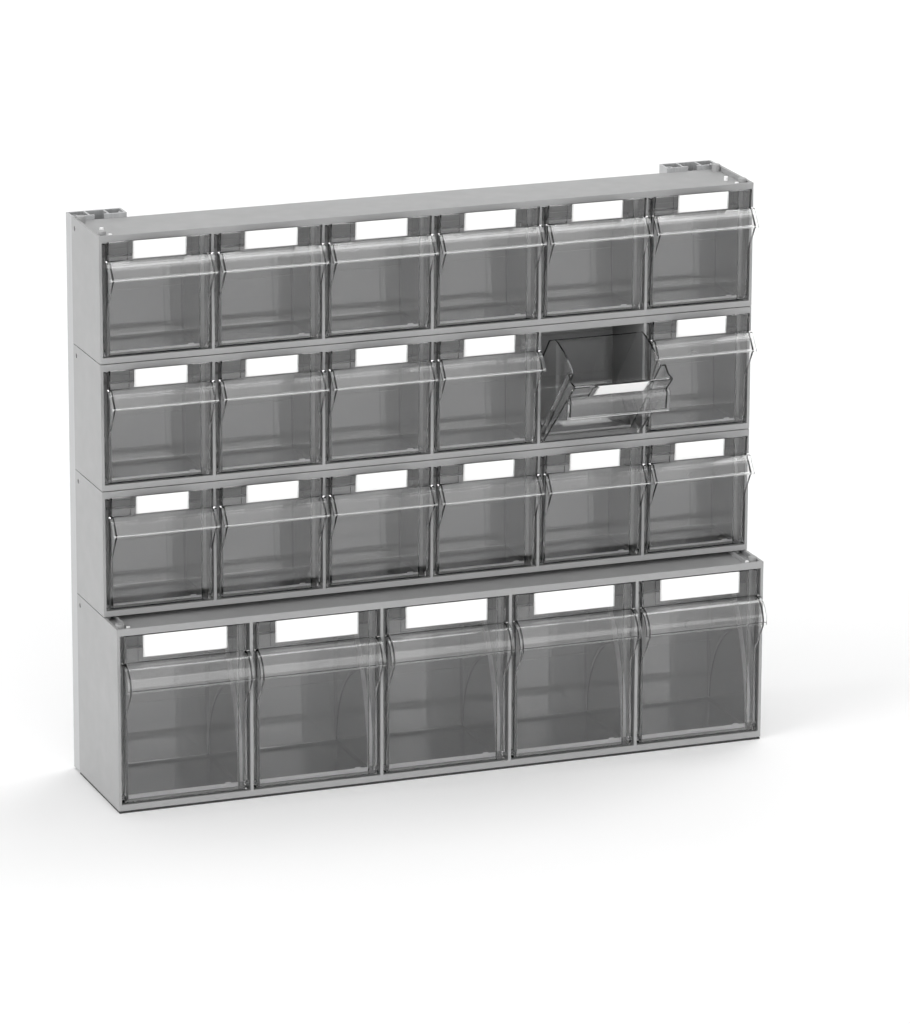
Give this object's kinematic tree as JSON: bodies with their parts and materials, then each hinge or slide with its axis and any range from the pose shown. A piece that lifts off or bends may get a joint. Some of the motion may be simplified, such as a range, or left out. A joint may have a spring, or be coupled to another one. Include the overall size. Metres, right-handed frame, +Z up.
{
  "type": "parts bin cabinet",
  "caption": "Wall-mounted stack of grey carcasses with clear tilt-out bins, label cards and handle lips, on two metal rails.",
  "frame": {"origin": "centre of the four wall holes, in the wall plane behind the two rails", "axes": "+Z up, +Y from the open front into the wall, +X to the right as seen from the front"},
  "size_m": [0.6, 0.1695, 0.5035],
  "materials": {
    "grey_plastic": "satin",
    "clear_plastic": "smoke clear, polished",
    "label_card": "white card",
    "rail_metal": "anodised, satin",
    "white_plastic": "moulded",
    "zinc_steel": "zinc plated",
    "dark_plastic": "moulded"
  },
  "bodies": {
    "cabinet": {"carcass_r1": "grey_plastic", "carcass_r2": "grey_plastic", "carcass_r3": "grey_plastic", "carcass_large": "grey_plastic", "rail_left": "rail_metal", "rail_right": "rail_metal", "stacking_pins": "white_plastic", "rail_screws": "rail_metal", "rail_nuts": "rail_metal", "feet": "dark_plastic"},
    "bin_r1c1": {"small_bin_r1c1": "clear_plastic", "small_label_r1c1": "label_card"},
    "bin_r1c2": {"small_bin_r1c2": "clear_plastic", "small_label_r1c2": "label_card"},
    "bin_r1c3": {"small_bin_r1c3": "clear_plastic", "small_label_r1c3": "label_card"},
    "bin_r1c4": {"small_bin_r1c4": "clear_plastic", "small_label_r1c4": "label_card"},
    "bin_r1c5": {"small_bin_r1c5": "clear_plastic", "small_label_r1c5": "label_card"},
    "bin_r1c6": {"small_bin_r1c6": "clear_plastic", "small_label_r1c6": "label_card"},
    "bin_r2c1": {"small_bin_r2c1": "clear_plastic", "small_label_r2c1": "label_card"},
    "bin_r2c2": {"small_bin_r2c2": "clear_plastic", "small_label_r2c2": "label_card"},
    "bin_r2c3": {"small_bin_r2c3": "clear_plastic", "small_label_r2c3": "label_card"},
    "bin_r2c4": {"small_bin_r2c4": "clear_plastic", "small_label_r2c4": "label_card"},
    "bin_r2c5": {"small_bin_r2c5": "clear_plastic", "small_label_r2c5": "label_card"},
    "bin_r2c6": {"small_bin_r2c6": "clear_plastic", "small_label_r2c6": "label_card"},
    "bin_r3c1": {"small_bin_r3c1": "clear_plastic", "small_label_r3c1": "label_card"},
    "bin_r3c2": {"small_bin_r3c2": "clear_plastic", "small_label_r3c2": "label_card"},
    "bin_r3c3": {"small_bin_r3c3": "clear_plastic", "small_label_r3c3": "label_card"},
    "bin_r3c4": {"small_bin_r3c4": "clear_plastic", "small_label_r3c4": "label_card"},
    "bin_r3c5": {"small_bin_r3c5": "clear_plastic", "small_label_r3c5": "label_card"},
    "bin_r3c6": {"small_bin_r3c6": "clear_plastic", "small_label_r3c6": "label_card"},
    "bin_large_c1": {"large_bin_c1": "clear_plastic", "large_label_c1": "label_card"},
    "bin_large_c2": {"large_bin_c2": "clear_plastic", "large_label_c2": "label_card"},
    "bin_large_c3": {"large_bin_c3": "clear_plastic", "large_label_c3": "label_card"},
    "bin_large_c4": {"large_bin_c4": "clear_plastic", "large_label_c4": "label_card"},
    "bin_large_c5": {"large_bin_c5": "clear_plastic", "large_label_c5": "label_card"}
  },
  "joints": [
    {"name": "tilt_r1c1", "type": "hinge", "parent": "cabinet", "child": "bin_r1c1", "pos_m": [-0.24896, -0.0925, 0.147], "axis": [1, 0, 0], "range_deg": [0, 43]},
    {"name": "tilt_r1c2", "type": "hinge", "parent": "cabinet", "child": "bin_r1c2", "pos_m": [-0.14938, -0.0925, 0.147], "axis": [1, 0, 0], "range_deg": [0, 43]},
    {"name": "tilt_r1c3", "type": "hinge", "parent": "cabinet", "child": "bin_r1c3", "pos_m": [-0.04979, -0.0925, 0.147], "axis": [1, 0, 0], "range_deg": [0, 43]},
    {"name": "tilt_r1c4", "type": "hinge", "parent": "cabinet", "child": "bin_r1c4", "pos_m": [0.04979, -0.0925, 0.147], "axis": [1, 0, 0], "range_deg": [0, 43]},
    {"name": "tilt_r1c5", "type": "hinge", "parent": "cabinet", "child": "bin_r1c5", "pos_m": [0.14938, -0.0925, 0.147], "axis": [1, 0, 0], "range_deg": [0, 43]},
    {"name": "tilt_r1c6", "type": "hinge", "parent": "cabinet", "child": "bin_r1c6", "pos_m": [0.24896, -0.0925, 0.147], "axis": [1, 0, 0], "range_deg": [0, 43]},
    {"name": "tilt_r2c1", "type": "hinge", "parent": "cabinet", "child": "bin_r2c1", "pos_m": [-0.24896, -0.0925, 0.035], "axis": [1, 0, 0], "range_deg": [0, 43]},
    {"name": "tilt_r2c2", "type": "hinge", "parent": "cabinet", "child": "bin_r2c2", "pos_m": [-0.14938, -0.0925, 0.035], "axis": [1, 0, 0], "range_deg": [0, 43]},
    {"name": "tilt_r2c3", "type": "hinge", "parent": "cabinet", "child": "bin_r2c3", "pos_m": [-0.04979, -0.0925, 0.035], "axis": [1, 0, 0], "range_deg": [0, 43]},
    {"name": "tilt_r2c4", "type": "hinge", "parent": "cabinet", "child": "bin_r2c4", "pos_m": [0.04979, -0.0925, 0.035], "axis": [1, 0, 0], "range_deg": [0, 43]},
    {"name": "tilt_r2c5", "type": "hinge", "parent": "cabinet", "child": "bin_r2c5", "pos_m": [0.14938, -0.0925, 0.035], "axis": [1, 0, 0], "range_deg": [-43, 0]},
    {"name": "tilt_r2c6", "type": "hinge", "parent": "cabinet", "child": "bin_r2c6", "pos_m": [0.24896, -0.0925, 0.035], "axis": [1, 0, 0], "range_deg": [0, 43]},
    {"name": "tilt_r3c1", "type": "hinge", "parent": "cabinet", "child": "bin_r3c1", "pos_m": [-0.24896, -0.0925, -0.077], "axis": [1, 0, 0], "range_deg": [0, 43]},
    {"name": "tilt_r3c2", "type": "hinge", "parent": "cabinet", "child": "bin_r3c2", "pos_m": [-0.14938, -0.0925, -0.077], "axis": [1, 0, 0], "range_deg": [0, 43]},
    {"name": "tilt_r3c3", "type": "hinge", "parent": "cabinet", "child": "bin_r3c3", "pos_m": [-0.04979, -0.0925, -0.077], "axis": [1, 0, 0], "range_deg": [0, 43]},
    {"name": "tilt_r3c4", "type": "hinge", "parent": "cabinet", "child": "bin_r3c4", "pos_m": [0.04979, -0.0925, -0.077], "axis": [1, 0, 0], "range_deg": [0, 43]},
    {"name": "tilt_r3c5", "type": "hinge", "parent": "cabinet", "child": "bin_r3c5", "pos_m": [0.14938, -0.0925, -0.077], "axis": [1, 0, 0], "range_deg": [0, 43]},
    {"name": "tilt_r3c6", "type": "hinge", "parent": "cabinet", "child": "bin_r3c6", "pos_m": [0.24896, -0.0925, -0.077], "axis": [1, 0, 0], "range_deg": [0, 43]},
    {"name": "tilt_large_c1", "type": "hinge", "parent": "cabinet", "child": "bin_large_c1", "pos_m": [-0.239, -0.1285, -0.238], "axis": [1, 0, 0], "range_deg": [0, 43]},
    {"name": "tilt_large_c2", "type": "hinge", "parent": "cabinet", "child": "bin_large_c2", "pos_m": [-0.1195, -0.1285, -0.238], "axis": [1, 0, 0], "range_deg": [0, 43]},
    {"name": "tilt_large_c3", "type": "hinge", "parent": "cabinet", "child": "bin_large_c3", "pos_m": [0, -0.1285, -0.238], "axis": [1, 0, 0], "range_deg": [0, 43]},
    {"name": "tilt_large_c4", "type": "hinge", "parent": "cabinet", "child": "bin_large_c4", "pos_m": [0.1195, -0.1285, -0.238], "axis": [1, 0, 0], "range_deg": [0, 43]},
    {"name": "tilt_large_c5", "type": "hinge", "parent": "cabinet", "child": "bin_large_c5", "pos_m": [0.239, -0.1285, -0.238], "axis": [1, 0, 0], "range_deg": [0, 43]}
  ]
}
